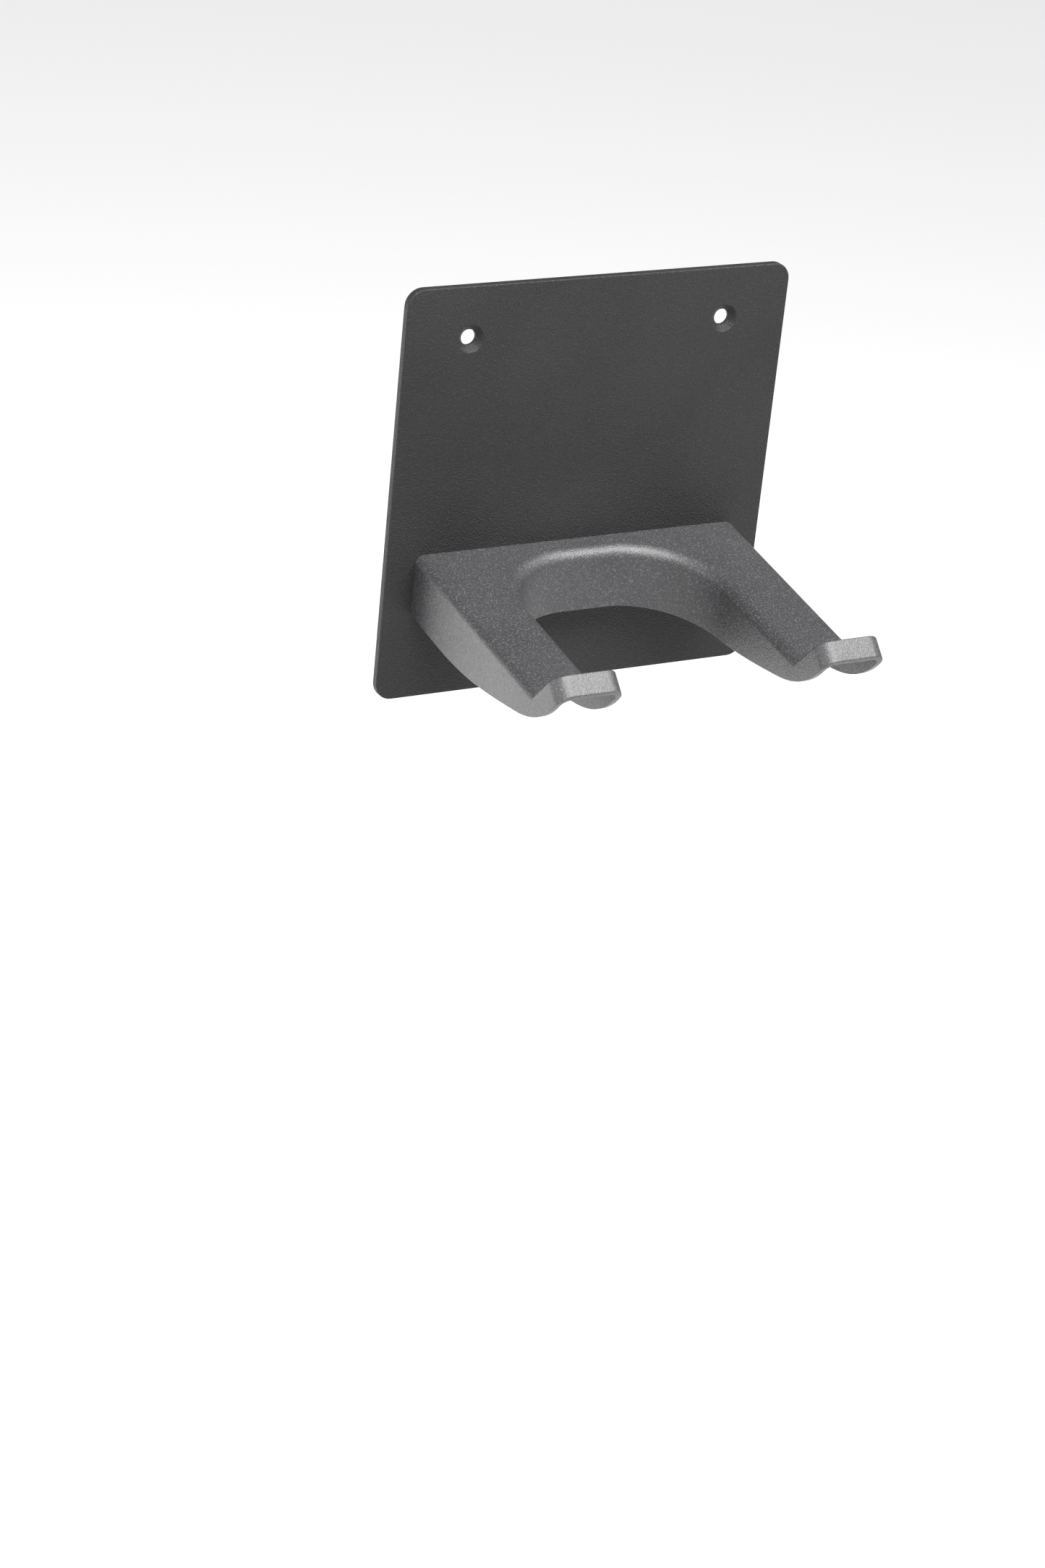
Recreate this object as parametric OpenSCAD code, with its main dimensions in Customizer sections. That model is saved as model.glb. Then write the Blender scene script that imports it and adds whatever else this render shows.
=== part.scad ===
// Wall-mounted holder for a hand-held hair dryer.
// A powder-coated plate carries a hollow moulded cradle with two arms. The
// neck of the dryer drops into the slot between the arms.
// Origin: middle of the face that sits against the wall. +X right, +Z up,
// and the arms reach out along -Y.

/* [Wall plate] */
// Width of the plate
plate_w = 120; // [112:1:150]
// Height of the plate
plate_h = 120; // [110:1:150]
// Thickness of the plate
plate_t = 2.5; // [2.5:0.5:4]
// Radius of the plate's corners
plate_corner_r = 5; // [2:0.5:12]

/* [Cradle] */
// Width of the cradle where it meets the plate
root_w = 102.5; // [100:0.5:106]
// Height of the cradle where it meets the plate
root_h = 17.5; // [16.5:0.5:19]
// Height of the cradle's top edge above the plate's bottom edge
root_top_above_edge = 43; // [40:1:50]
// Width of the slot for the dryer's neck
slot_w = 62; // [58:1:64]
// Radius of the slot's inner corners
slot_corner_r = 24; // [18:1:26]
// Depth of the crosspiece behind the slot
crosspiece_d = 7.5; // [7.5:0.5:9]
// Distance from the plate's front to the valley in the arms
valley_out = 71.2; // [68:0.2:73]
// Drop from the cradle's top edge to the valley
valley_drop = 11.2; // [10.4:0.2:12]
// Thickness of the moulding's walls
wall_t = 1.6; // [1.5:0.1:2.2]

/* [Fixings] */
// Distance between the two wall screw holes
wall_hole_spacing = 80; // [60:1:90]
// Diameter of a wall screw hole
wall_hole_d = 4.5; // [3.5:0.5:4.5]
// Thickness of the foam mounting pads
pad_t = 1; // [0.8:0.1:1.5]

/* [Hidden] */
$fn = 96;
eps = 0.01;
corner_steps = 8;

// Layers from the wall outwards
plate_back_y = -pad_t;
plate_front_y = -(pad_t + plate_t);

// Side outline of an arm, as [distance out from the plate, height]
root_top = [0, root_top_above_edge - plate_h / 2];
root_bottom = root_top - [0, root_h];
valley = [valley_out, root_top[1] - valley_drop];
lip_top = valley + [8.9, 9.35];
lip_bottom = valley + [13.3, 4.95];
tip_out = lip_bottom[0];

// Underside of an arm: a long shallow curve to the bend, then a short rise
belly_bend = root_bottom + [62.2, -2.25];
bend_run = [1, 0.12];
belly_pull_1 = root_bottom + [27, -4.9];
belly_pull_2 = belly_bend - 29.2 * bend_run;
belly_pull_3 = belly_bend + 15 * bend_run;
long_steps = 18;
rise_steps = 14;

// Plan outline of the cradle
tip_draft = 0.4;
tip_corner_r = 4.2;
arm_x = (root_w + slot_w) / 4;

// Ribs and screw bosses inside the moulding
back_wall_t = 2;
rib_t = 1.4;
rib_depth = 2.5;
rib_end_out = 58;
boss_r = 3.75;
boss_len = 9;
boss_z = (root_top[1] + root_bottom[1]) / 2;
boss_xs = [-arm_x, -14, 14, arm_x];

// M3 countersunk screws in heat-set inserts
screw_r = 1.48;
screw_len = 6;
screw_chamfer = 0.3;
screw_head_r = 3;
screw_sink = 0.1;
socket_r = 1.15;
socket_depth = 1;
insert_r = 2.3;
insert_groove_r = 2;
insert_len = 5;
insert_bore_r = 1.5;
insert_pocket_len = 5.2;
clear_hole_r = 1.7;
clear_sink_r = 3.2;

// Countersunk holes for the screws into the wall
wall_sink_depth = 1.75;
wall_sink_r = wall_hole_d / 2 + wall_sink_depth;
wall_hole_z = plate_h / 2 - 15;

// Foam pads above and below the row of screws
pad_w = plate_w - 12;
pad_corner_r = 3;
pad_gap = 9.5;
upper_pad_z = [boss_z + pad_gap, wall_hole_z - 11];
lower_pad_z = [4 - plate_h / 2, boss_z - pad_gap];

// Point of a cubic curve at t from 0 to 1
function cubic(a, b, c, d, t) =
    pow(1 - t, 3) * a + 3 * pow(1 - t, 2) * t * b + 3 * (1 - t) * t * t * c + pow(t, 3) * d;

// Point of a quadratic curve at t from 0 to 1
function quadratic(a, b, c, t) = pow(1 - t, 2) * a + 2 * (1 - t) * t * b + t * t * c;

// Underside of an arm from its tip back to the plate
function belly() =
    concat([for (i = [rise_steps:-1:1])
               quadratic(belly_bend, belly_pull_3, lip_bottom, i / rise_steps)],
           [for (i = [long_steps:-1:0])
               cubic(root_bottom, belly_pull_1, belly_pull_2, belly_bend, i / long_steps)]);

// Round corner about centre c, from angle a0 to a1
function arc(c, r, a0, a1) =
    [for (i = [0:corner_steps])
        let (a = a0 + (a1 - a0) * i / corner_steps) c + r * [cos(a), sin(a)]];

// Unit vector square to the line from p to q, pointing into the moulding
function inwards(p, q) = [q[1] - p[1], p[0] - q[0]] / norm(q - p);

// Corner q of the line p-q-r, moved in by d from both of its sides
function inset_corner(p, q, r, d) =
    let (n1 = inwards(p, q), n2 = inwards(q, r)) q + d * (n1 + n2) / (1 + n1 * n2);

// Turns a side view, [out, height], into a solid that is as wide as the cradle
module across() {
    translate([root_w / 2, plate_front_y, 0])
        rotate([90, 0, -90])
            linear_extrude(root_w) children();
}

// Turns a plan view, [across, out], into a solid taller than the cradle
module tall() {
    translate([0, plate_front_y, -plate_h])
        linear_extrude(2 * plate_h)
            mirror([0, 1, 0]) children();
}

module side_outline() {
    polygon(concat([root_top, valley, lip_top], belly()));
}

// Hollow under the skin, open all along the underside
module side_cavity() {
    front = lip_bottom + wall_t * inwards(lip_top, lip_bottom);
    polygon([[back_wall_t, root_top[1] - wall_t],
             inset_corner(root_top, valley, lip_top, wall_t),
             inset_corner(valley, lip_top, lip_bottom, wall_t),
             front,
             front + (lip_bottom - lip_top),
             [tip_out, -plate_h],
             [back_wall_t, -plate_h]]);
}

// Outline of the cradle without its slot, moved in by inset
module plan_block(inset) {
    half_root = root_w / 2 - inset;
    half_tip = half_root - tip_draft;
    polygon([[-half_root, 0], [half_root, 0], [half_tip, tip_out], [-half_tip, tip_out]]);
}

// Slot for the dryer's neck, open at the front, moved out by grow
module slot_outline(grow) {
    half = slot_w / 2 + grow;
    r = slot_corner_r + grow;
    back = crosspiece_d - grow;
    polygon(concat(arc([r - half, back + r], r, 180, 270),
                   arc([half - r, back + r], r, 270, 360),
                   [[half, tip_out + 1], [-half, tip_out + 1]]));
}

// Cutter that rounds an upright corner of an arm's sloping end face
module tip_corner_cutter() {
    slope = lip_bottom - lip_top;
    rotate([-atan2(slope[0], -slope[1]), 0, 0])
        translate([0, 0, -norm(slope)])
            linear_extrude(2.5 * norm(slope))
                polygon(concat([[1, -1], [1, tip_corner_r]],
                               arc([-tip_corner_r, tip_corner_r], tip_corner_r, 0, -90),
                               [[-tip_corner_r, -1]]));
}

module tip_corner_cutters() {
    outer_x = root_w / 2 - tip_draft;
    for (side = [0, 1])
        mirror([side, 0, 0])
            translate([0, plate_front_y - lip_bottom[0], lip_bottom[1]]) {
                translate([outer_x, 0, 0])
                    tip_corner_cutter();
                translate([slot_w / 2, 0, 0])
                    mirror([1, 0, 0])
                        tip_corner_cutter();
            }
}

module outer_shape() {
    difference() {
        intersection() {
            across() side_outline();
            tall() difference() {
                plan_block(0);
                slot_outline(0);
            }
        }
        tip_corner_cutters();
    }
}

module cavity() {
    intersection() {
        across() side_cavity();
        tall() difference() {
            plan_block(wall_t);
            slot_outline(wall_t);
        }
    }
}

// One shallow rib along each arm, hanging from its sloping skin
module ribs() {
    drop = [0, -wall_t / 2];
    depth = [0, -wall_t / 2 - rib_depth];
    arm_slope = (valley - root_top) / valley[0];
    rib_end = root_top + rib_end_out * arm_slope;
    intersection() {
        across() polygon([root_top + drop, rib_end + drop, rib_end + depth, root_top + depth]);
        for (side = [-1, 1])
            translate([side * arm_x - rib_t / 2, plate_front_y - rib_end_out, -plate_h / 2])
                cube([rib_t, rib_end_out, plate_h]);
    }
}

// Boss for a screw, short behind the slot and long inside an arm
module boss(x) {
    len = abs(x) > slot_w / 2 ? boss_len : crosspiece_d - wall_t / 2;
    translate([x, plate_front_y, boss_z])
        rotate([90, 0, 0])
            cylinder(h = len, r = boss_r);
}

module cradle() {
    color([0.075, 0.075, 0.08])
        difference() {
            union() {
                difference() {
                    outer_shape();
                    cavity();
                }
                ribs();
                for (x = boss_xs) boss(x);
            }
            for (x = boss_xs)
                translate([x, plate_front_y + eps, boss_z])
                    rotate([90, 0, 0])
                        cylinder(h = insert_pocket_len + eps, r = insert_r);
        }
}

// Upright panel with rounded corners, centred on X, its back at y
module panel(w, z, y, thick, r) {
    h = z[1] - z[0];
    translate([0, y, (z[0] + z[1]) / 2])
        rotate([90, 0, 0])
            linear_extrude(thick)
                polygon(concat(arc([w / 2 - r, h / 2 - r], r, 0, 90),
                               arc([r - w / 2, h / 2 - r], r, 90, 180),
                               arc([r - w / 2, r - h / 2], r, 180, 270),
                               arc([w / 2 - r, r - h / 2], r, 270, 360)));
}

// Countersunk hole through the plate, its wide mouth at height 0
module sunk_hole(r, mouth_r) {
    translate([0, 0, -eps])
        cylinder(h = plate_t + 2 * eps, r = r);
    translate([0, 0, -eps])
        cylinder(h = mouth_r - r + eps, r1 = mouth_r + eps, r2 = r);
}

module wall_plate() {
    color([0.09, 0.09, 0.095])
        difference() {
            panel(plate_w, [-plate_h / 2, plate_h / 2], plate_back_y, plate_t, plate_corner_r);
            for (x = boss_xs)
                translate([x, plate_back_y, boss_z])
                    rotate([90, 0, 0])
                        sunk_hole(clear_hole_r, clear_sink_r);
            for (side = [-1, 1])
                translate([side * wall_hole_spacing / 2, plate_front_y, wall_hole_z])
                    rotate([-90, 0, 0])
                        sunk_hole(wall_hole_d / 2, wall_sink_r);
        }
}

module foam_pad(z) {
    color([0.16, 0.16, 0.165])
        panel(pad_w, z, 0, pad_t, pad_corner_r);
}

// Countersunk screw with a hexagonal socket, head towards the wall
module cradle_screw(i) {
    color([0.62, 0.62, 0.64])
        translate([boss_xs[i - 1], plate_back_y - screw_sink, boss_z])
            rotate([90, 0, 0])
                difference() {
                    rotate_extrude()
                        polygon([[0, 0], [screw_head_r, 0],
                                 [screw_r, screw_head_r - screw_r],
                                 [screw_r, screw_len - screw_chamfer],
                                 [screw_r - screw_chamfer, screw_len], [0, screw_len]]);
                    translate([0, 0, -eps])
                        cylinder(h = socket_depth + eps, r = socket_r, $fn = 6);
                }
}

// Brass insert with two grooves round it, flush with the cradle's back
module screw_insert(i) {
    color([0.78, 0.62, 0.3])
        translate([boss_xs[i - 1], plate_front_y, boss_z])
            rotate([90, 0, 0])
                rotate_extrude()
                    polygon([[insert_bore_r, 0], [insert_r, 0],
                             [insert_r, 1.2], [insert_groove_r, 1.5],
                             [insert_groove_r, 2], [insert_r, 2.3],
                             [insert_r, 3], [insert_groove_r, 3.3],
                             [insert_groove_r, 3.8], [insert_r, 4.1],
                             [insert_r, insert_len - 0.2],
                             [insert_r - 0.2, insert_len], [insert_bore_r, insert_len]]);
}

wall_plate();
cradle();
foam_pad(upper_pad_z);  // upper_pad
foam_pad(lower_pad_z);  // lower_pad
cradle_screw(1);  // cradle_screw_1
cradle_screw(2);  // cradle_screw_2
cradle_screw(3);  // cradle_screw_3
cradle_screw(4);  // cradle_screw_4
screw_insert(1);  // screw_insert_1
screw_insert(2);  // screw_insert_2
screw_insert(3);  // screw_insert_3
screw_insert(4);  // screw_insert_4
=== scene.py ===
import math

import bmesh
import bpy
from mathutils import Matrix, Vector


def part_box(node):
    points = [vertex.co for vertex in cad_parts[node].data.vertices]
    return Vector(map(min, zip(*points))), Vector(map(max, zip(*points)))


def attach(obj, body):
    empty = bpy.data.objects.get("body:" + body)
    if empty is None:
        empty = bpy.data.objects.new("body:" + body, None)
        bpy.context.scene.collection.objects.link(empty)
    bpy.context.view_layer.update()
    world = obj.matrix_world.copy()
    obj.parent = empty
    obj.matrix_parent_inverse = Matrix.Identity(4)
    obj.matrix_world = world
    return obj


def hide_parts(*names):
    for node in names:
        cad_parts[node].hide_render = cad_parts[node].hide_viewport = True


# Wall-mounted hair dryer holder. Shapes are worked out in millimetres in the
# frame's axes and scaled to metres as each mesh is made. "out" is the distance
# from the plate's front face towards the user, along -Y.

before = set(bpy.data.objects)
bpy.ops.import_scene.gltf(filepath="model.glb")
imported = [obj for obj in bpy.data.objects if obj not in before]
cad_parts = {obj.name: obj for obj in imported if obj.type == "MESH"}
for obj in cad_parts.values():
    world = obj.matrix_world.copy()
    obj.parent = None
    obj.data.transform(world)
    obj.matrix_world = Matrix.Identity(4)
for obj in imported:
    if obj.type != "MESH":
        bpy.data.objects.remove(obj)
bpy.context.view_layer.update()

MM = 0.001

# Sizes read from the frame
plate_low, plate_high = (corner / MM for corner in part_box("wall_plate"))
cradle_low, cradle_high = (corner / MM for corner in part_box("cradle"))
FRONT_Y = plate_low.y
ROOT_HALF = cradle_high.x
ROOT_TOP_Z = cradle_high.z
TIP_OUT = FRONT_Y - cradle_low.y

# Side outline of an arm
ROOT_H = 17.5
VALLEY_OUT = 71.2
VALLEY_DROP = 11.2
LIP_RUN = 8.9
LIP_RISE = 9.35
LIP_FACE_DROP = 4.4
BEND_OUT = 62.2
BEND_BELOW_ROOT = 2.25
BEND_SLOPE = 0.12
BELLY_PULL_ROOT = (27.0, -4.9)
BELLY_PULL_BEND = 29.2
BELLY_PULL_RISE = 15.0

# Plan outline of the cradle
TIP_DRAFT = 0.4
TIP_CORNER_R = 4.2
SLOT_HALF = 31.0
SLOT_CORNER_R = 24.0
CROSSPIECE_D = 7.5
WALL_T = 1.6
BACK_WALL_T = 2.0

# Rounding of the moulding's edges
OUTER_FILLET_R = 2.5
SLOT_FILLET_R = 3.3
CRISP_R = 0.42
RIM_R = 0.25
INNER_FILLET_R = 0.4
FILLET_STEPS = 8
ROUND_MIDDLE = 0.29  # how far in a round's middle point lies, as a share of its radius
LIP_RING_INSETS = (0.0, 0.03, 0.1, 0.22, 0.42, 0.7, 1.0, 1.3, 1.6)
RIM_ROWS = ((RIM_R, 0.0), (RIM_R * ROUND_MIDDLE, RIM_R * ROUND_MIDDLE), (0.0, RIM_R))

# How the rounding changes along an arm
CREASE_REACH = 8.0  # either side of the valley, where the columns follow the moved crease
LIP_BLEND_AFTER_VALLEY = 0.8
LIP_BLEND_BEFORE_CORNER = 0.5
BELLY_SPREAD_FROM = 50.0  # past here the rim's columns are spread out to reach the leaning face

# Columns of the skin
FINE_OUT = 60.0
ARM_COLUMNS = 20
VALLEY_COLUMNS = 6
LIP_COLUMNS = 6
TIP_CORNER_COLUMNS = 10
FACE_COLUMNS = 6
SLOT_CORNER_COLUMNS = 24
CROSSPIECE_COLUMNS = 3
SLOT_COLUMN_GAP = 1.0
SAME_PLACE = 1e-6

# Searching and cutting
BISECT_STEPS = 48
FACE_SEARCH = 12.0
OVERRUN = 1.0  # how far a tool passes the face that it joins or cuts
SINK_OVERRUN = 0.5

# Inside the moulding
ARM_X = (ROOT_HALF + SLOT_HALF) / 2
INNER_BOSS_X = 14.0
SCREW_XS = (-ARM_X, -INNER_BOSS_X, INNER_BOSS_X, ARM_X)
BOSS_R = 3.75
BOSS_LEN = 9.0
SHORT_BOSS_LEN = 6.5
POCKET_R = 2.3
POCKET_LEN = 5.2
RIB_T = 1.4
RIB_DEPTH = 2.5
RIB_START = 1.0
RIB_END = 58.0
BOSS_SET_IN = 1.0

# Worked out from the above
VALLEY_Z = ROOT_TOP_Z - VALLEY_DROP
LIP_OUT = VALLEY_OUT + LIP_RUN
LIP_TOP_Z = VALLEY_Z + LIP_RISE
LIP_BOTTOM_Z = LIP_TOP_Z - LIP_FACE_DROP
ARM_FALL = VALLEY_DROP / VALLEY_OUT
LIP_CLIMB = LIP_RISE / LIP_RUN
ARM_STRETCH = math.hypot(1, ARM_FALL)
LIP_STRETCH = math.hypot(1, LIP_CLIMB)
FACE_LEAN = (TIP_OUT - LIP_OUT) / LIP_FACE_DROP
FACE_SQUARE = 1 / math.hypot(1, FACE_LEAN)
BOSS_Z = ROOT_TOP_Z - ROOT_H / 2


# ---------------------------------------------------------------- curves

def arm_plane(out):
    """Height of the arm's sloping top."""
    return ROOT_TOP_Z - ARM_FALL * out


def lip_plane(out):
    """Height of the upturned lip's top."""
    return VALLEY_Z + LIP_CLIMB * (out - VALLEY_OUT)


def belly_corners():
    """Control points of the underside's long shallow curve and of its rise to the lip."""
    root = Vector((0.0, ROOT_TOP_Z - ROOT_H))
    bend = root + Vector((BEND_OUT, -BEND_BELOW_ROOT))
    run = Vector((1.0, BEND_SLOPE))
    shallow = (root, root + Vector(BELLY_PULL_ROOT), bend - BELLY_PULL_BEND * run, bend)
    rise = (bend, bend + BELLY_PULL_RISE * run, Vector((TIP_OUT, LIP_BOTTOM_Z)))
    return shallow, rise


def bezier(corners, t):
    """Point at t from 0 to 1 of the curve that these control points pull."""
    if len(corners) == 1:
        return corners[0]
    return bezier([a.lerp(b, t) for a, b in zip(corners, corners[1:])], t)


def bisect(f, low, high):
    """Where the rising function f passes through zero."""
    for _ in range(BISECT_STEPS):
        middle = (low + high) / 2
        if f(middle) < 0:
            low = middle
        else:
            high = middle
    return (low + high) / 2


def belly_z(out):
    """Height of the underside."""
    shallow, rise = belly_corners()
    corners = shallow if out < BEND_OUT else rise
    return bezier(corners, bisect(lambda t: bezier(corners, t).x - out, 0.0, 1.0)).y


def fillet_drop(inset, radius):
    """How far a rounded edge lies below the corner that it replaces."""
    if inset >= radius:
        return 0.0
    return radius - math.sqrt(radius ** 2 - (radius - inset) ** 2)


def skin_z(out, inset, radius):
    """Height of the moulding's top at a distance inset from its outline."""
    arm = arm_plane(out) - ARM_STRETCH * fillet_drop(inset, radius)
    lip = lip_plane(out) - LIP_STRETCH * fillet_drop(inset, CRISP_R)
    return max(arm, lip)


def ceiling_z(out):
    """Height of the hollow's top."""
    return max(arm_plane(out) - ARM_STRETCH * WALL_T, lip_plane(out) - LIP_STRETCH * WALL_T)


def crease_shift(inset, radius):
    """How far the valley moves towards the plate where the edges are rounded."""
    gap = LIP_STRETCH * fillet_drop(inset, CRISP_R) - ARM_STRETCH * fillet_drop(inset, radius)
    return gap / (ARM_FALL + LIP_CLIMB)


def smooth(a, b, value):
    """0 below a, 1 above b and an even curve between."""
    t = min(max((value - a) / (b - a), 0.0), 1.0)
    return t * t * (3 - 2 * t)


def on_face(w, drop):
    """Distance out of a point on the lip's top, in coordinates that lean with the end face."""
    return LIP_OUT + (w - LIP_OUT + FACE_LEAN * drop) / (1 + FACE_LEAN * LIP_CLIMB)


def face_belly_out(w):
    """Distance out of the underside's point that lies at w, leaning with the end face."""
    def past_w(out):
        return out + FACE_LEAN * (belly_z(out) - LIP_TOP_Z) - w
    return bisect(past_w, LIP_OUT - FACE_SEARCH, TIP_OUT)


CORNER_OUT = on_face(LIP_OUT - TIP_CORNER_R / FACE_SQUARE, 0.0)
CORNER_BELLY_OUT = face_belly_out(LIP_OUT - TIP_CORNER_R / FACE_SQUARE)
INNER_CREASE_OUT = VALLEY_OUT + WALL_T * (LIP_STRETCH - ARM_STRETCH) / (ARM_FALL + LIP_CLIMB)
INNER_CORNER_OUT = on_face(LIP_OUT - TIP_CORNER_R / FACE_SQUARE, LIP_STRETCH * WALL_T)


# ---------------------------------------------------------------- cradle skin

def ring_insets(radius, lip_share):
    """Insets of the skin's rings, from the arm's round edge over to the lip's crisp one."""
    turns = [math.radians(90 * i / FILLET_STEPS) for i in range(FILLET_STEPS + 1)]
    arm = [radius * (1 - math.cos(turn)) for turn in turns]
    return [a + (b - a) * lip_share for a, b in zip(arm, LIP_RING_INSETS)]


class WallStation:
    """A column on an upright wall: at(inset, out) gives its place in plan."""

    def __init__(self, at, out, radius, straight):
        self.at = at
        self.out = out
        self.radius = radius
        self.straight = straight
        self.outer = radius == OUTER_FILLET_R

    def spread(self, to_crease, to_corner):
        """This column's place on a line whose crease and corner lie elsewhere."""
        if self.out <= VALLEY_OUT:
            return self.out * to_crease / VALLEY_OUT
        share = (self.out - VALLEY_OUT) / (CORNER_OUT - VALLEY_OUT)
        return to_crease + (to_corner - to_crease) * share

    def skin(self):
        rows = []
        near_crease = max(0.0, 1 - abs(self.out - VALLEY_OUT) / CREASE_REACH)
        lip_share = 0.0
        if self.straight:
            lip_share = smooth(VALLEY_OUT + LIP_BLEND_AFTER_VALLEY,
                               CORNER_OUT - LIP_BLEND_BEFORE_CORNER, self.out)
        for inset in ring_insets(self.radius, lip_share):
            out = self.out + near_crease * crease_shift(inset, self.radius) * self.straight
            x, plan_out = self.at(inset, out)
            rows.append((x, plan_out, skin_z(plan_out, inset, self.radius)))
        return rows

    def belly_out(self):
        if self.out <= BELLY_SPREAD_FROM or not self.straight:
            return self.out
        share = (self.out - BELLY_SPREAD_FROM) / (CORNER_OUT - BELLY_SPREAD_FROM)
        return BELLY_SPREAD_FROM + (CORNER_BELLY_OUT - BELLY_SPREAD_FROM) * share

    def rim(self):
        rows = []
        for inset, lift in RIM_ROWS:
            x, out = self.at(inset, self.belly_out())
            rows.append((x, out, belly_z(out) + lift))
        return rows

    def inner_belly_out(self):
        out = self.belly_out()
        if self.straight and self.outer:
            out = BACK_WALL_T + out * (1 - BACK_WALL_T / TIP_OUT)
        return out

    def ceiling_out(self):
        if not self.straight:
            return self.out
        if self.outer and self.out < VALLEY_OUT:
            return BACK_WALL_T + self.out * (INNER_CREASE_OUT - BACK_WALL_T) / VALLEY_OUT
        return self.spread(INNER_CREASE_OUT, INNER_CORNER_OUT)

    def inner(self):
        x, out = self.at(WALL_T, self.inner_belly_out())
        rows = [(x, out, belly_z(out))]
        for inset, below in inner_fillet():
            x, out = self.at(inset, self.ceiling_out())
            rows.append((x, out, ceiling_z(out) - below))
        return rows


class TipStation:
    """A column on the lip's leaning end face or one of its upright corners."""

    def __init__(self, at):
        self.at = at

    def place(self, inset, drop):
        x, depth = self.at(inset)
        return x, on_face(LIP_OUT - depth / FACE_SQUARE, drop)

    def skin(self):
        rows = []
        for inset in LIP_RING_INSETS:
            drop = LIP_STRETCH * fillet_drop(inset, CRISP_R)
            x, out = self.place(inset, drop)
            rows.append((x, out, lip_plane(out) - drop))
        return rows

    def rim(self):
        rows = []
        for inset, lift in RIM_ROWS:
            x, depth = self.at(inset)
            out = face_belly_out(LIP_OUT - depth / FACE_SQUARE)
            rows.append((x, out - FACE_LEAN * lift, belly_z(out) + lift))
        return rows

    def inner(self):
        x, depth = self.at(WALL_T)
        out = face_belly_out(LIP_OUT - depth / FACE_SQUARE)
        rows = [(x, out, belly_z(out))]
        for inset, below in inner_fillet():
            drop = LIP_STRETCH * WALL_T + below
            x, out = self.place(inset, drop)
            rows.append((x, out, lip_plane(out) - drop))
        return rows


def inner_fillet():
    """Insets from the outline and depths below the ceiling of the hollow's small inner round."""
    r = INNER_FILLET_R
    return ((WALL_T, r), (WALL_T + ROUND_MIDDLE * r, ROUND_MIDDLE * r), (WALL_T + r, 0.0))


def outer_wall_at(inset, out):
    return -(ROOT_HALF - TIP_DRAFT * min(out / CORNER_OUT, 1.0)) + inset, out


def slot_wall_at(inset, out):
    return -SLOT_HALF - inset, out


def slot_corner_at(angle):
    def at(inset, _out):
        r = SLOT_CORNER_R + inset
        centre_x = SLOT_CORNER_R - SLOT_HALF
        centre_out = CROSSPIECE_D + SLOT_CORNER_R
        return centre_x - r * math.cos(angle), centre_out - r * math.sin(angle)
    return at


def crosspiece_at(x):
    def at(inset, _out):
        return x, CROSSPIECE_D - inset
    return at


def tip_corner_at(angle, side):
    """Round upright corner of a lip; side is -1 at the outer wall and 1 at the slot."""
    wall = -(ROOT_HALF - TIP_DRAFT) if side < 0 else -SLOT_HALF
    centre_x = wall - side * TIP_CORNER_R

    def at(inset):
        r = TIP_CORNER_R - inset
        return centre_x + side * r * math.cos(angle), TIP_CORNER_R - r * math.sin(angle)
    return at


def end_face_at(x):
    def at(inset):
        return x, inset
    return at


def spaced(a, b, count, first=0, last=0):
    """count + 1 even steps from a to b, leaving out some at either end."""
    steps = [a + (b - a) * i / count for i in range(count + 1)]
    return steps[first:len(steps) - last]


def half_stations():
    """Columns from the plate along the left arm, round its lip and back to the middle."""
    arm = spaced(0, FINE_OUT, ARM_COLUMNS)
    valley = spaced(FINE_OUT, VALLEY_OUT, VALLEY_COLUMNS, 1)
    lip = spaced(VALLEY_OUT, CORNER_OUT, LIP_COLUMNS, 1, 1)
    outs = arm + valley + lip
    columns = [WallStation(outer_wall_at, out, OUTER_FILLET_R, True) for out in outs]

    quarter = [math.radians(a) for a in spaced(0, 90, TIP_CORNER_COLUMNS)]
    columns += [TipStation(tip_corner_at(a, -1)) for a in quarter]
    face_from = -(ROOT_HALF - TIP_DRAFT) + TIP_CORNER_R
    face_to = -SLOT_HALF - TIP_CORNER_R
    columns += [TipStation(end_face_at(x)) for x in spaced(face_from, face_to, FACE_COLUMNS, 1, 1)]
    columns += [TipStation(tip_corner_at(a, 1)) for a in reversed(quarter)]

    straight_from = CROSSPIECE_D + SLOT_CORNER_R
    outs = [o for o in reversed(outs) if o > straight_from + SLOT_COLUMN_GAP] + [straight_from]
    columns += [WallStation(slot_wall_at, out, SLOT_FILLET_R, True) for out in outs]
    corner = [math.radians(a) for a in spaced(0, 90, SLOT_CORNER_COLUMNS, 1)]
    columns += [WallStation(slot_corner_at(a), 0.0, SLOT_FILLET_R, False) for a in corner]
    middle = spaced(SLOT_CORNER_R - SLOT_HALF, 0, CROSSPIECE_COLUMNS, 1)
    columns += [WallStation(crosspiece_at(x), 0.0, SLOT_FILLET_R, False) for x in middle]
    return columns


CRISP_ANGLE = 32
FOAM_CRISP_ANGLE = 60
LARGE_FACE_WEIGHT = 80


def mirrored(rows):
    return [(-x, out, z) for x, out, z in rows]


def to_frame(point):
    x, out, z = point
    return Vector((x, FRONT_Y - out, z)) * MM


def new_object(name, bm):
    """A mesh object from a bmesh, with its faces turned outwards."""
    bmesh.ops.recalc_face_normals(bm, faces=bm.faces)
    mesh = bpy.data.meshes.new(name)
    bm.to_mesh(mesh)
    bm.free()
    obj = bpy.data.objects.new(name, mesh)
    bpy.context.scene.collection.objects.link(obj)
    return obj


def finish_shading(obj, angle=CRISP_ANGLE):
    """Smooth shading with crisp edges, led by the large faces."""
    mesh = obj.data
    mesh.shade_smooth()
    mesh.set_sharp_from_angle(angle=math.radians(angle))
    weighted = obj.modifiers.new("weighted", "WEIGHTED_NORMAL")
    weighted.keep_sharp = True
    weighted.weight = LARGE_FACE_WEIGHT


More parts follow.
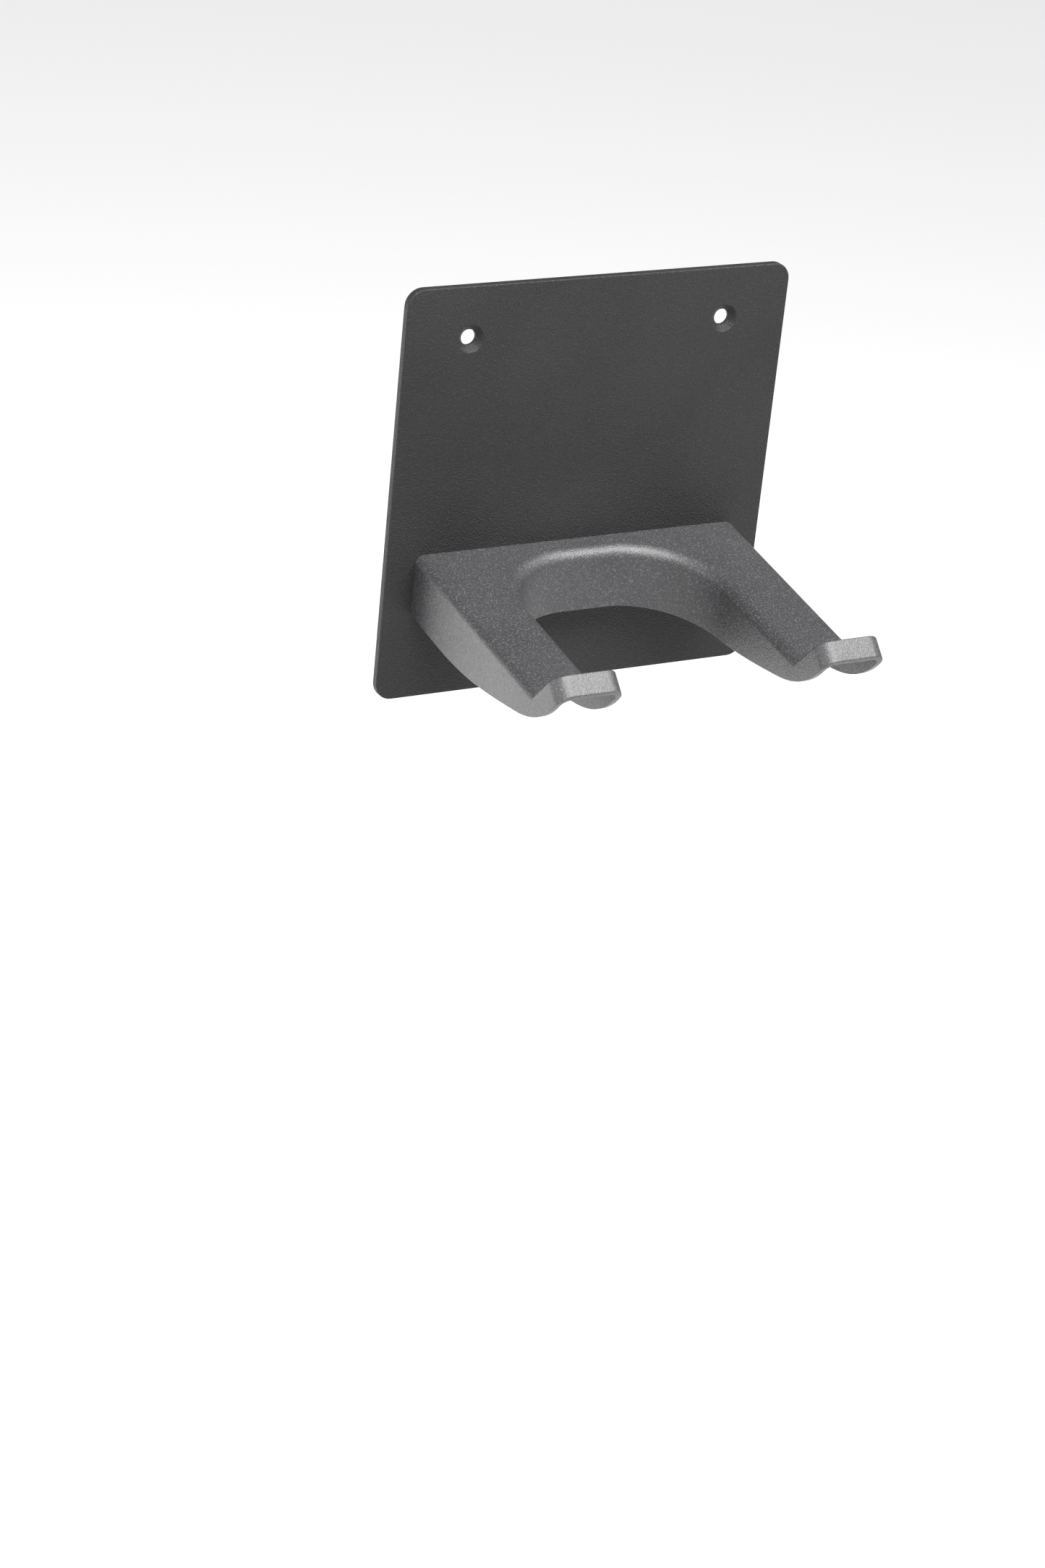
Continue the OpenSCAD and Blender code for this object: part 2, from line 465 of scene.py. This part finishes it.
def outer_rows(station):
    """A column's points from the rim up the wall and over the top."""
    rim, skin = station.rim(), station.skin()
    halfway = tuple((a + b) / 2 for a, b in zip(rim[-1], skin[0]))
    return rim + [halfway] + skin


def at_crease(station):
    return (isinstance(station, WallStation) and station.straight
            and abs(station.out - VALLEY_OUT) < SAME_PLACE)


def cradle_skin():
    """The hollow moulding: outer skin, inner skin and the rim that joins them."""
    bm = bmesh.new()
    half = half_stations()
    outer = [outer_rows(s) for s in half]
    inner = [s.inner() for s in half]
    creases = [i for i, s in enumerate(half) if at_crease(s)]
    total = 2 * len(half) - 1
    outer += [mirrored(rows) for rows in reversed(outer[:-1])]
    inner += [mirrored(rows) for rows in reversed(inner[:-1])]
    creases += [total - 1 - i for i in reversed(creases)]

    out_v = [[bm.verts.new(to_frame(p)) for p in rows] for rows in outer]
    in_v = [[bm.verts.new(to_frame(p)) for p in rows] for rows in inner]

    def strip(grid):
        for a, b in zip(grid, grid[1:]):
            for j in range(len(a) - 1):
                bm.faces.new((a[j], b[j], b[j + 1], a[j + 1]))

    strip(out_v)
    strip(in_v)
    for i in range(total - 1):
        bm.faces.new((out_v[i][0], in_v[i][0], in_v[i + 1][0], out_v[i + 1][0]))
    bm.faces.new((out_v[0][0], out_v[-1][0], in_v[-1][0], in_v[0][0]))

    left_out, left_in, right_in, right_out = creases
    for grid in (out_v, in_v):
        edge = [rows[-1] for rows in grid]
        bm.faces.new(edge[:left_out + 1] + edge[left_in:right_in + 1] + edge[right_out:])
        bm.faces.new(edge[left_out:left_in + 1])
        bm.faces.new(edge[right_in:right_out + 1])
        bm.faces.new(grid[0] + list(reversed(grid[-1])))
    return new_object("cradle_moulding", bm)


# ---------------------------------------------------------------- cutting and joining

def close_rings(bm, rings):
    """Joins a row of equal rings and caps both ends."""
    for a, b in zip(rings, rings[1:]):
        for i in range(len(a)):
            k = (i + 1) % len(a)
            bm.faces.new((a[i], a[k], b[k], b[i]))
    bm.faces.new(rings[0])
    bm.faces.new(rings[-1])


def round_tool(name, radius, y_from, y_to, x, z, radius_end=None, segments=64):
    """A cylinder or cone along Y, in millimetres."""
    bm = bmesh.new()
    end = radius if radius_end is None else radius_end
    angles = [2 * math.pi * i / segments for i in range(segments)]
    rings = []
    for y, r in ((y_from, radius), (y_to, end)):
        points = [Vector((x + r * math.cos(a), y, z + r * math.sin(a))) for a in angles]
        rings.append([bm.verts.new(point * MM) for point in points])
    close_rings(bm, rings)
    return new_object(name, bm)


def prism_tool(name, side, x_from, x_to):
    """A side view of (out, z) points drawn from x_from to x_to."""
    bm = bmesh.new()
    ends = [[bm.verts.new(to_frame((x, out, z))) for out, z in side] for x in (x_from, x_to)]
    close_rings(bm, ends)
    return new_object(name, bm)


def combine(obj, tools, operation):
    """Adds the tools to obj or cuts them from it, then removes them."""
    for tool in tools:
        step = obj.modifiers.new("combine", "BOOLEAN")
        step.operation = operation
        step.solver = "EXACT"
        step.object = tool
        graph = bpy.context.evaluated_depsgraph_get()
        mesh = bpy.data.meshes.new_from_object(obj.evaluated_get(graph))
        obj.modifiers.remove(step)
        old = obj.data
        obj.data = mesh
        bpy.data.meshes.remove(old)
        bpy.data.objects.remove(tool)


def boss(x):
    length = BOSS_LEN if abs(x) > SLOT_HALF else SHORT_BOSS_LEN
    return round_tool("boss", BOSS_R, FRONT_Y - BOSS_SET_IN, FRONT_Y - length, x, BOSS_Z)


def rib(x):
    top, bottom = -WALL_T / 2, -WALL_T / 2 - RIB_DEPTH
    start, end = RIB_START, RIB_END
    side = [(start, arm_plane(start) + top), (end, arm_plane(end) + top),
            (end, arm_plane(end) + bottom), (start, arm_plane(start) + bottom)]
    return prism_tool("rib", side, x - RIB_T / 2, x + RIB_T / 2)


def pocket(x):
    return round_tool("pocket", POCKET_R, FRONT_Y + OVERRUN, FRONT_Y - POCKET_LEN, x, BOSS_Z)


def make_cradle():
    obj = cradle_skin()
    combine(obj, [boss(x) for x in SCREW_XS] + [rib(side * ARM_X) for side in (-1, 1)], "UNION")
    combine(obj, [pocket(x) for x in SCREW_XS], "DIFFERENCE")
    finish_shading(obj)
    return obj


# ---------------------------------------------------------------- plate

PLATE_CORNER_R = 5.0
PLATE_EDGE_R = 0.4
CLEAR_R = 1.7
CLEAR_SINK_R = 3.2
WALL_HOLE_R = 2.25
WALL_HOLE_SINK = 1.75
WALL_HOLE_X = 40.0
WALL_HOLE_Z = 45.0


def rounded_outline(half_w, z_low, z_high, radius, steps=10):
    """Points round a rectangle with round corners, in X and Z."""
    points = []
    for corner, (sx, sz) in enumerate(((1, 1), (-1, 1), (-1, -1), (1, -1))):
        cx = sx * (half_w - radius)
        cz = (z_high if sz > 0 else z_low) - sz * radius
        for i in range(steps + 1):
            a = math.radians(90 * corner + 90 * i / steps)
            points.append((cx + radius * math.cos(a), cz + radius * math.sin(a)))
    return points


def slab(name, half_w, z_low, z_high, corner_r, y_back, y_front, edge_r, steps=4):
    """A flat panel with round corners and softly rounded edges."""
    bm = bmesh.new()
    rings = []
    quarter = [math.radians(90 * i / steps) for i in range(steps + 1)]
    profile = [(edge_r * (1 - math.sin(a)), y_back - edge_r * (1 - math.cos(a))) for a in quarter]
    profile += [(edge_r * (1 - math.cos(a)), y_front + edge_r * (1 - math.sin(a))) for a in quarter]
    for inset, y in profile:
        outline = rounded_outline(half_w - inset, z_low + inset, z_high - inset, corner_r - inset)
        rings.append([bm.verts.new(Vector((x, y, z)) * MM) for x, z in outline])
    close_rings(bm, rings)
    return new_object(name, bm)


def make_plate():
    back, front = plate_high.y, plate_low.y
    obj = slab("plate_steel", plate_high.x, plate_low.z, plate_high.z, PLATE_CORNER_R,
               back, front, PLATE_EDGE_R)
    tools = []
    for x in SCREW_XS:
        tools.append(round_tool("clear", CLEAR_R, back + OVERRUN, front - OVERRUN, x, BOSS_Z))
        tools.append(round_tool("clear_sink", CLEAR_SINK_R + SINK_OVERRUN, back + SINK_OVERRUN,
                                back - (CLEAR_SINK_R - CLEAR_R), x, BOSS_Z, CLEAR_R))
    for x in (-WALL_HOLE_X, WALL_HOLE_X):
        tools.append(round_tool("hole", WALL_HOLE_R, back + OVERRUN, front - OVERRUN,
                                x, WALL_HOLE_Z))
        tools.append(round_tool("hole_sink", WALL_HOLE_R + WALL_HOLE_SINK + SINK_OVERRUN,
                                front - SINK_OVERRUN, front + WALL_HOLE_SINK,
                                x, WALL_HOLE_Z, WALL_HOLE_R))
    combine(obj, tools, "DIFFERENCE")
    finish_shading(obj)
    return obj


# ---------------------------------------------------------------- foam pads

PAD_CORNER_R = 3.0
PAD_CORNER_STEPS = 6
PAD_WAVE = 0.04
PAD_WAVE_TURN = 1.7
# Inset from the outline, and share of the way from the wall to the plate
PAD_PROFILE = ((1.6, 0.0), (0.5, 0.02), (0.12, 0.1), (0.0, 0.26), (0.1, 0.5),
               (0.0, 0.74), (0.12, 0.9), (0.5, 0.98), (1.6, 1.0))


def make_pad(node):
    """A strip of foam tape with soft, slightly crushed edges and a faintly uneven skin."""
    low, high = (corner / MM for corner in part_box(node))
    bm = bmesh.new()
    rings = []
    for inset, depth in PAD_PROFILE:
        outline = rounded_outline(high.x - inset, low.z + inset, high.z - inset,
                                  PAD_CORNER_R - inset, PAD_CORNER_STEPS)
        ring = []
        for i, (x, z) in enumerate(outline):
            wave = PAD_WAVE * math.sin(i * PAD_WAVE_TURN + low.z)
            y = high.y + (low.y - high.y) * depth
            ring.append(bm.verts.new(Vector((x - math.copysign(abs(wave), x), y, z)) * MM))
        rings.append(ring)
    close_rings(bm, rings)
    obj = new_object(node + "_foam", bm)
    finish_shading(obj, FOAM_CRISP_ANGLE)
    return obj


# ---------------------------------------------------------------- materials

def material(name):
    """An empty material and helpers that add and link its nodes."""
    mat = bpy.data.materials.new(name)
    mat.use_nodes = True
    nodes, links = mat.node_tree.nodes, mat.node_tree.links
    shader = nodes["Principled BSDF"]
    place = nodes.new("ShaderNodeTexCoord").outputs["Object"]

    def noise(scale, detail=2.0, rough=0.5):
        """Noise whose features are 1/scale metres across."""
        n = nodes.new("ShaderNodeTexNoise")
        n.inputs["Scale"].default_value = scale
        n.inputs["Detail"].default_value = detail
        n.inputs["Roughness"].default_value = rough
        links.new(place, n.inputs["Vector"])
        return n.outputs["Fac"]

    def ramp(value, low, high, a=0.0, b=1.0):
        m = nodes.new("ShaderNodeMapRange")
        m.inputs["From Min"].default_value = low
        m.inputs["From Max"].default_value = high
        m.inputs["To Min"].default_value = a
        m.inputs["To Max"].default_value = b
        links.new(value, m.inputs["Value"])
        return m.outputs["Result"]

    def blend(factor, colour_a, colour_b):
        m = nodes.new("ShaderNodeMix")
        m.data_type = "RGBA"
        links.new(factor, m.inputs["Factor"])
        for socket, colour in ((m.inputs["A"], colour_a), (m.inputs["B"], colour_b)):
            if isinstance(colour, tuple):
                socket.default_value = (*colour, 1)
            else:
                links.new(colour, socket)
        return m.outputs["Result"]

    def add(a, b, share):
        """a plus a share of b."""
        m = nodes.new("ShaderNodeMath")
        m.operation = "MULTIPLY_ADD"
        links.new(b, m.inputs[0])
        m.inputs[1].default_value = share
        links.new(a, m.inputs[2])
        return m.outputs["Value"]

    def bump(height, distance, strength):
        b = nodes.new("ShaderNodeBump")
        b.inputs["Distance"].default_value = distance
        b.inputs["Strength"].default_value = strength
        links.new(height, b.inputs["Height"])
        links.new(b.outputs["Normal"], shader.inputs["Normal"])

    def cells(scale):
        v = nodes.new("ShaderNodeTexVoronoi")
        v.inputs["Scale"].default_value = scale
        links.new(place, v.inputs["Vector"])
        return v.outputs["Distance"]

    def feed(socket, value):
        links.new(value, shader.inputs[socket])

    tools = {"feed": feed, "noise": noise, "ramp": ramp, "blend": blend, "add": add,
             "bump": bump, "cells": cells, "shader": shader, "links": links,
             "place": place, "nodes": nodes}
    return mat, tools


def moulded_plastic():
    """Matt charcoal moulding with a fine spark-eroded grain."""
    mat, t = material("moulded_plastic")
    grain = t["noise"](2200, 3, 0.6)
    coarse = t["noise"](800, 2)
    patches = t["noise"](28, 3)
    dark, light = (0.019, 0.0187, 0.0201), (0.026, 0.0257, 0.0272)
    speck_colour = (0.085, 0.084, 0.089)
    base = t["blend"](t["ramp"](patches, 0.35, 0.65), dark, light)
    speck = t["blend"](t["ramp"](grain, 0.52, 0.72), base, speck_colour)
    t["feed"]("Base Color", speck)
    t["feed"]("Roughness", t["ramp"](t["add"](patches, coarse, 0.5), 0.4, 1.1, 0.36, 0.46))
    t["bump"](t["add"](grain, coarse, 0.5), 0.00016, 0.8)
    t["shader"].inputs["IOR"].default_value = 1.53
    return mat


def powder_coat():
    """Matt black powder coat with a sand-like grain."""
    mat, t = material("powder_coat")
    sand = t["cells"](2300)
    fine = t["noise"](2600, 3, 0.7)
    patches = t["noise"](20, 3)
    dark, light = (0.008, 0.0079, 0.0084), (0.012, 0.0118, 0.0124)
    speck_colour = (0.045, 0.045, 0.047)
    base = t["blend"](t["ramp"](patches, 0.35, 0.65), dark, light)
    speck = t["blend"](t["ramp"](fine, 0.58, 0.72), base, speck_colour)
    t["feed"]("Base Color", speck)
    t["feed"]("Roughness", t["ramp"](patches, 0.3, 0.7, 0.5, 0.62))
    t["bump"](t["add"](sand, fine, 0.5), 0.0002, 0.8)
    t["shader"].inputs["Specular IOR Level"].default_value = 0.28
    return mat


def foam_tape():
    """Dark closed-cell foam."""
    mat, t = material("foam_tape")
    cell = t["cells"](1800)
    patches = t["noise"](90, 2)
    base = t["blend"](t["ramp"](cell, 0.1, 0.6), (0.03, 0.03, 0.031), (0.075, 0.075, 0.077))
    tone = t["blend"](t["ramp"](patches, 0.4, 0.7), base, (0.055, 0.055, 0.057))
    t["feed"]("Base Color", tone)
    t["feed"]("Roughness", t["ramp"](patches, 0.3, 0.7, 0.8, 0.92))
    t["bump"](cell, 0.0002, 0.8)
    return mat


def metal(name, colour_a, colour_b, rough_low, rough_high, streak):
    """Turned or plated metal with fine tool marks along its length."""
    mat, t = material(name)
    mapping = t["nodes"].new("ShaderNodeMapping")
    mapping.inputs["Scale"].default_value = streak
    t["links"].new(t["place"], mapping.inputs["Vector"])
    marks = t["nodes"].new("ShaderNodeTexNoise")
    marks.inputs["Scale"].default_value = 1500
    t["links"].new(mapping.outputs["Vector"], marks.inputs["Vector"])
    marks = marks.outputs["Fac"]
    patches = t["noise"](350, 2)
    t["feed"]("Base Color", t["blend"](t["ramp"](patches, 0.3, 0.7), colour_a, colour_b))
    t["feed"]("Roughness", t["ramp"](marks, 0.3, 0.7, rough_low, rough_high))
    t["shader"].inputs["Metallic"].default_value = 1.0
    t["bump"](marks, 0.00004, 0.4)
    return mat


def pale_floor():
    mat, t = material("studio_floor")
    t["shader"].inputs["Base Color"].default_value = (0.93, 0.93, 0.93, 1)
    t["shader"].inputs["Roughness"].default_value = 0.9
    return mat


# ---------------------------------------------------------------- pieces

def dress(obj, mat):
    obj.data.materials.clear()
    obj.data.materials.append(mat)


PLASTIC = moulded_plastic()
COAT = powder_coat()
FOAM = foam_tape()
ZINC = metal("screw_steel", (0.56, 0.56, 0.58), (0.68, 0.68, 0.69), 0.25, 0.42, (1, 0.15, 1))
BRASS = metal("insert_brass", (0.70, 0.53, 0.24), (0.80, 0.62, 0.30), 0.22, 0.38, (1, 0.1, 1))

pieces = [(make_cradle(), "cradle", PLASTIC, "moulded_plastic"),
          (make_plate(), "wall_plate", COAT, "powder_coat")]
pieces += [(make_pad(node), node, FOAM, "foam_tape") for node in ("upper_pad", "lower_pad")]
for piece, node, mat, slot_name in pieces:
    dress(piece, mat)
    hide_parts(node)
    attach(piece, "root")

for node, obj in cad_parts.items():
    if node.startswith("cradle_screw"):
        dress(obj, ZINC)
    elif node.startswith("screw_insert"):
        dress(obj, BRASS)


# ---------------------------------------------------------------- studio

CAMERA_PLACE = (-0.5103, -0.8511, 0.3707)
CAMERA_YAW = 30.57
CAMERA_DOWN = 25.21
CAMERA_ROLL = 5.90
FOCAL_IN_HEIGHTS = 2.3985
SENSOR = 36.0
FLOOR_Z = -0.9
FLOOR_HALF = 40.0
BRIGHT_SIDE = (0.0, -0.94, 0.34)
SKY_BEHIND = 0.22
SKY_BEFORE = 1.2
GLOW_FROM = -0.4
GLOW_TO = 0.6
# Direction from the object, distance, width and height in metres, watts
LIGHTS = (("key", (0.12, -0.46, 0.80), 1.6, 2.2, 0.7, 98),
          ("side", (-0.55, 0.72, -0.38), 1.5, 1.2, 1.2, 11),
          ("fill", (-0.90, 0.10, 0.25), 1.5, 1.0, 1.0, 13))


def make_camera():
    data = bpy.data.cameras.new("camera")
    data.sensor_fit = "VERTICAL"
    data.sensor_height = SENSOR
    data.lens = FOCAL_IN_HEIGHTS * SENSOR
    data.clip_start = 0.01
    data.clip_end = 100
    camera = bpy.data.objects.new("camera", data)
    turn = Matrix.Rotation(math.radians(-CAMERA_YAW), 4, "Z")
    tilt = Matrix.Rotation(math.radians(90 - CAMERA_DOWN), 4, "X")
    roll = Matrix.Rotation(math.radians(CAMERA_ROLL), 4, "Z")
    camera.matrix_world = Matrix.Translation(CAMERA_PLACE) @ turn @ tilt @ roll
    bpy.context.scene.collection.objects.link(camera)
    bpy.context.scene.camera = camera


def soft_light(name, direction, distance, width, height, power):
    """A soft box facing the object, seen only by what it lights."""
    data = bpy.data.lights.new(name, "AREA")
    data.shape = "RECTANGLE"
    data.size = width
    data.size_y = height
    data.energy = power
    light = bpy.data.objects.new(name, data)
    aim = Vector(direction).normalized()
    light.location = aim * distance
    light.rotation_euler = aim.to_track_quat("Z", "Y").to_euler()
    light.visible_camera = False
    bpy.context.scene.collection.objects.link(light)


def make_world():
    """A white sky that is brighter in front of the object than behind it."""
    world = bpy.data.worlds.new("studio")
    world.use_nodes = True
    nodes, links = world.node_tree.nodes, world.node_tree.links
    sky = nodes["Background"]
    sky.inputs["Color"].default_value = (1, 1, 1, 1)
    facing = nodes.new("ShaderNodeVectorMath")
    facing.operation = "DOT_PRODUCT"
    facing.inputs[1].default_value = BRIGHT_SIDE
    links.new(nodes.new("ShaderNodeTexCoord").outputs["Generated"], facing.inputs[0])
    glow = nodes.new("ShaderNodeMapRange")
    glow.inputs["From Min"].default_value = GLOW_FROM
    glow.inputs["From Max"].default_value = GLOW_TO
    glow.inputs["To Min"].default_value = SKY_BEHIND
    glow.inputs["To Max"].default_value = SKY_BEFORE
    links.new(facing.outputs["Value"], glow.inputs["Value"])
    links.new(glow.outputs["Result"], sky.inputs["Strength"])
    bpy.context.scene.world = world
    bpy.context.scene.view_settings.view_transform = "Standard"


def make_floor():
    bm = bmesh.new()
    bmesh.ops.create_grid(bm, x_segments=4, y_segments=4, size=FLOOR_HALF)
    floor = new_object("floor", bm)
    floor.location.z = FLOOR_Z
    dress(floor, pale_floor())


make_camera()
make_world()
make_floor()
for light in LIGHTS:
    soft_light(*light)
